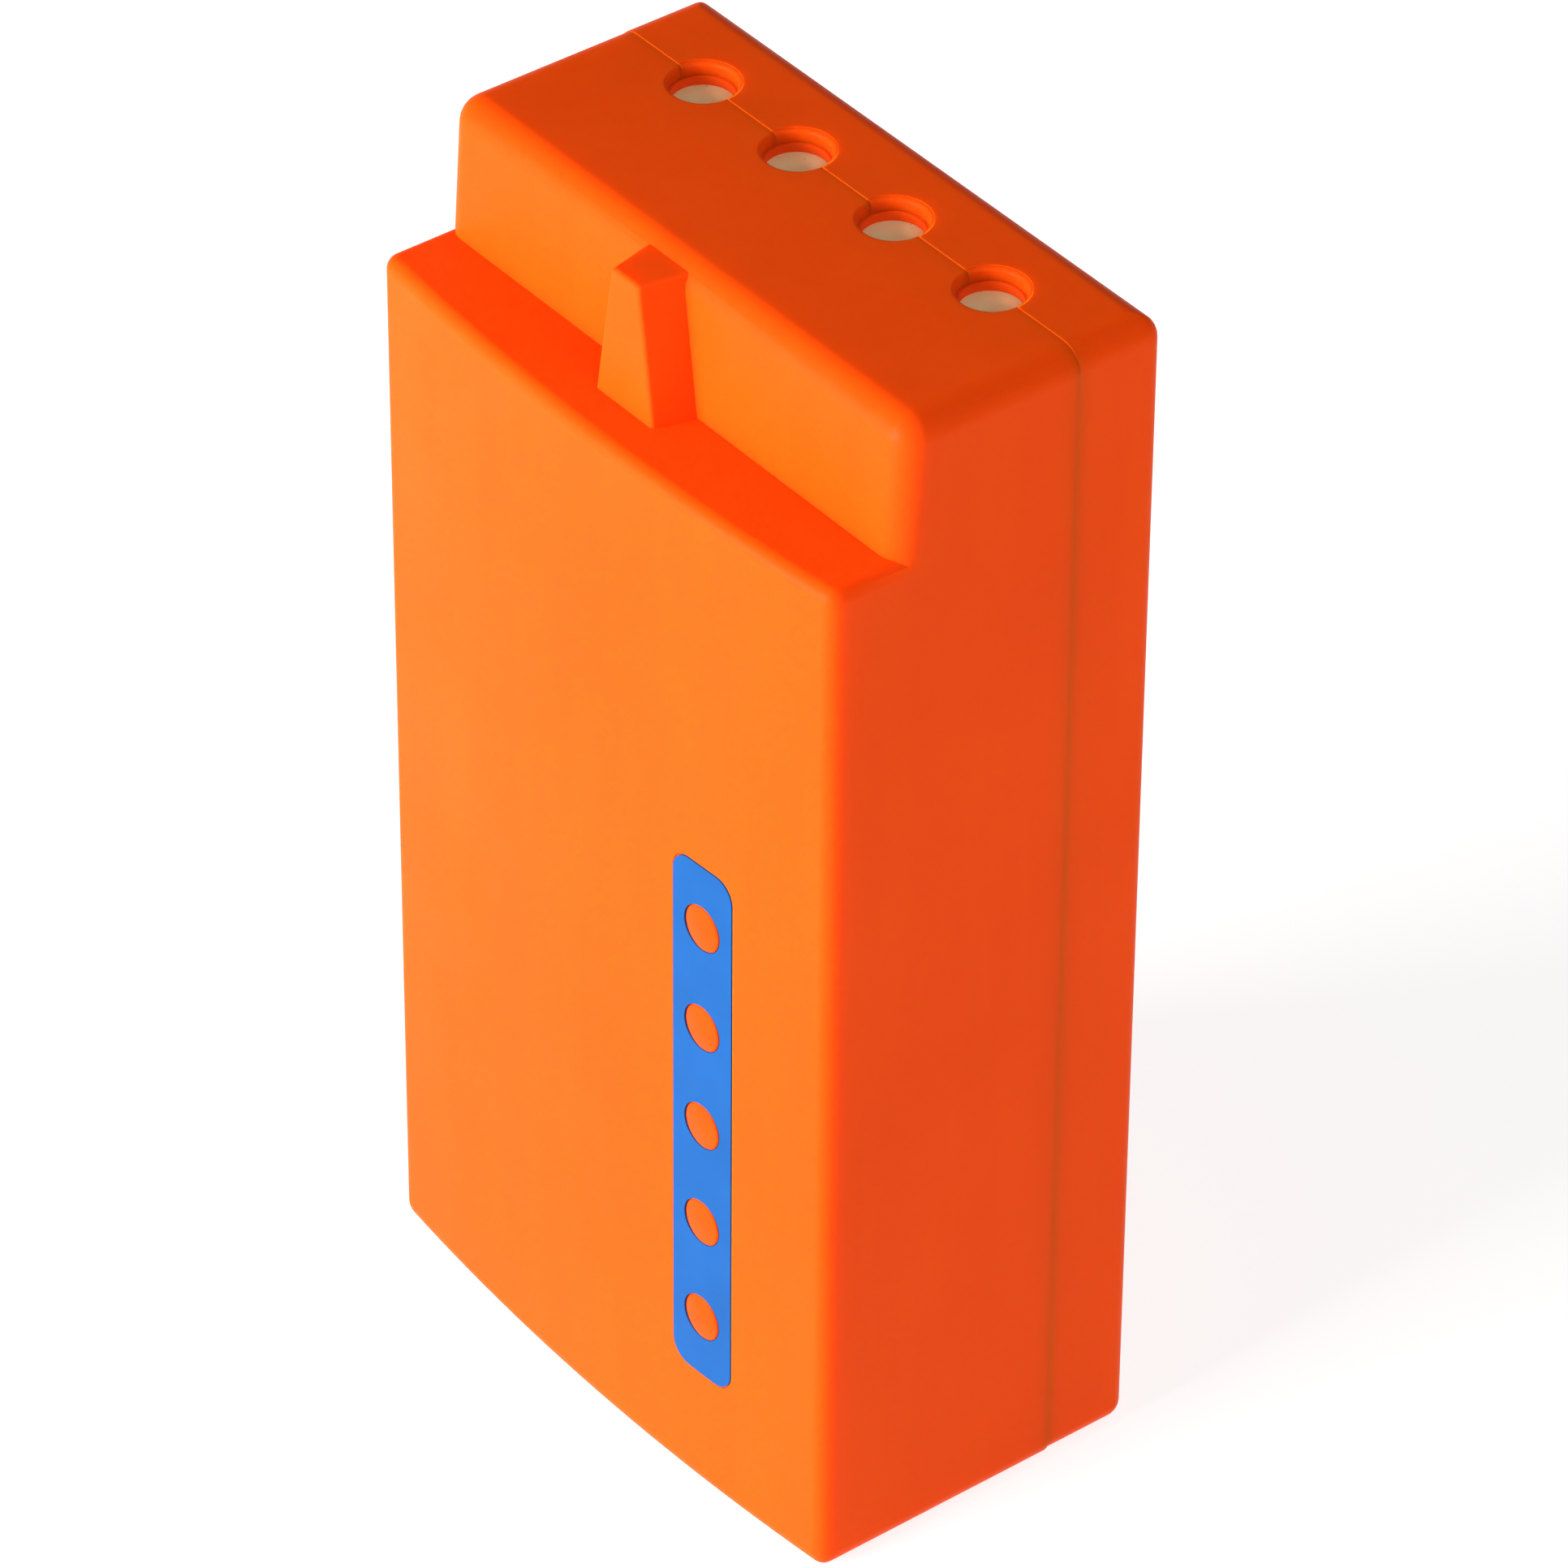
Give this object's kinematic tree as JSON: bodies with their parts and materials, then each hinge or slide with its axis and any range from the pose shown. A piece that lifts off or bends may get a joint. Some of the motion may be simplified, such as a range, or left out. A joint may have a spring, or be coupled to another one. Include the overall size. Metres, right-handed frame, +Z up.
{
  "type": "rechargeable battery pack",
  "caption": "Slide-in rechargeable battery pack with a stepped neck, a key rib, recessed top contacts and a charge gauge strip.",
  "frame": {"origin": "middle of the base, at the level that the pack stands on", "axes": "+Z up towards the contacts, -Y out of the bowed gauge face, +X to the right as seen facing the gauge"},
  "size_m": [0.06, 0.0348, 0.1154],
  "materials": {
    "case_plastic": "satin moulded orange plastic",
    "label_film": "smooth blue printed film",
    "window_plastic": "clear orange tint, polished",
    "circuit_board": "green solder mask",
    "lamp_resin": "cast clear resin",
    "chip_body": "fine matt moulding",
    "screw_steel": "zinc plated",
    "socket_plastic": "plain moulded",
    "flat_cable": "laminated film",
    "carrier_plastic": "plain moulded",
    "contact_metal": "plated, finely worn",
    "wire_black": "soft insulation",
    "wire_red": "soft insulation",
    "wire_white": "soft insulation",
    "wire_yellow": "soft insulation",
    "cell_wrap": "heat-shrunk film",
    "insulating_paper": "plain pressed paper",
    "nickel_strip": "rolled nickel",
    "fuse_metal": "drawn metal shell",
    "tape_film": "thin polyimide tape",
    "foam": "closed-cell foam"
  },
  "bodies": {
    "root": {"front_shell": "case_plastic", "rear_shell": "case_plastic", "gauge_label": "label_film", "light_pipe_1": "window_plastic", "light_pipe_2": "window_plastic", "light_pipe_3": "window_plastic", "light_pipe_4": "window_plastic", "light_pipe_5": "window_plastic", "gauge_board": "circuit_board", "led_1": "lamp_resin", "led_2": "lamp_resin", "led_3": "lamp_resin", "led_4": "lamp_resin", "led_5": "lamp_resin", "gauge_resistors": "chip_body", "gauge_screws": "screw_steel", "gauge_socket": "socket_plastic", "gauge_ribbon": "flat_cable", "main_board": "circuit_board", "main_socket": "socket_plastic", "mosfet_1": "chip_body", "mosfet_2": "chip_body", "controller_chip": "chip_body", "shunt_resistor": "nickel_strip", "contact_carrier": "carrier_plastic", "contact_pad_1": "contact_metal", "contact_pad_2": "contact_metal", "contact_pad_3": "contact_metal", "contact_pad_4": "contact_metal", "contact_board": "circuit_board", "contact_screws": "screw_steel", "contact_lead_1": "wire_black", "contact_lead_2": "wire_black", "contact_lead_3": "wire_red", "contact_lead_4": "wire_red", "cell_1": "cell_wrap", "cell_2": "cell_wrap", "cell_3": "cell_wrap", "cell_insulators": "insulating_paper", "strip_negative": "nickel_strip", "strip_top_link": "nickel_strip", "strip_bottom_link": "nickel_strip", "strip_positive": "nickel_strip", "thermal_fuse": "fuse_metal", "thermistor": "wire_black", "wire_negative": "wire_black", "wire_positive": "wire_red", "wire_tap_top": "wire_white", "wire_tap_bottom": "wire_yellow", "tape_band_lower": "tape_film", "tape_band_upper": "tape_film", "foam_rear": "foam", "foam_bottom": "foam"}
  },
  "joints": []
}
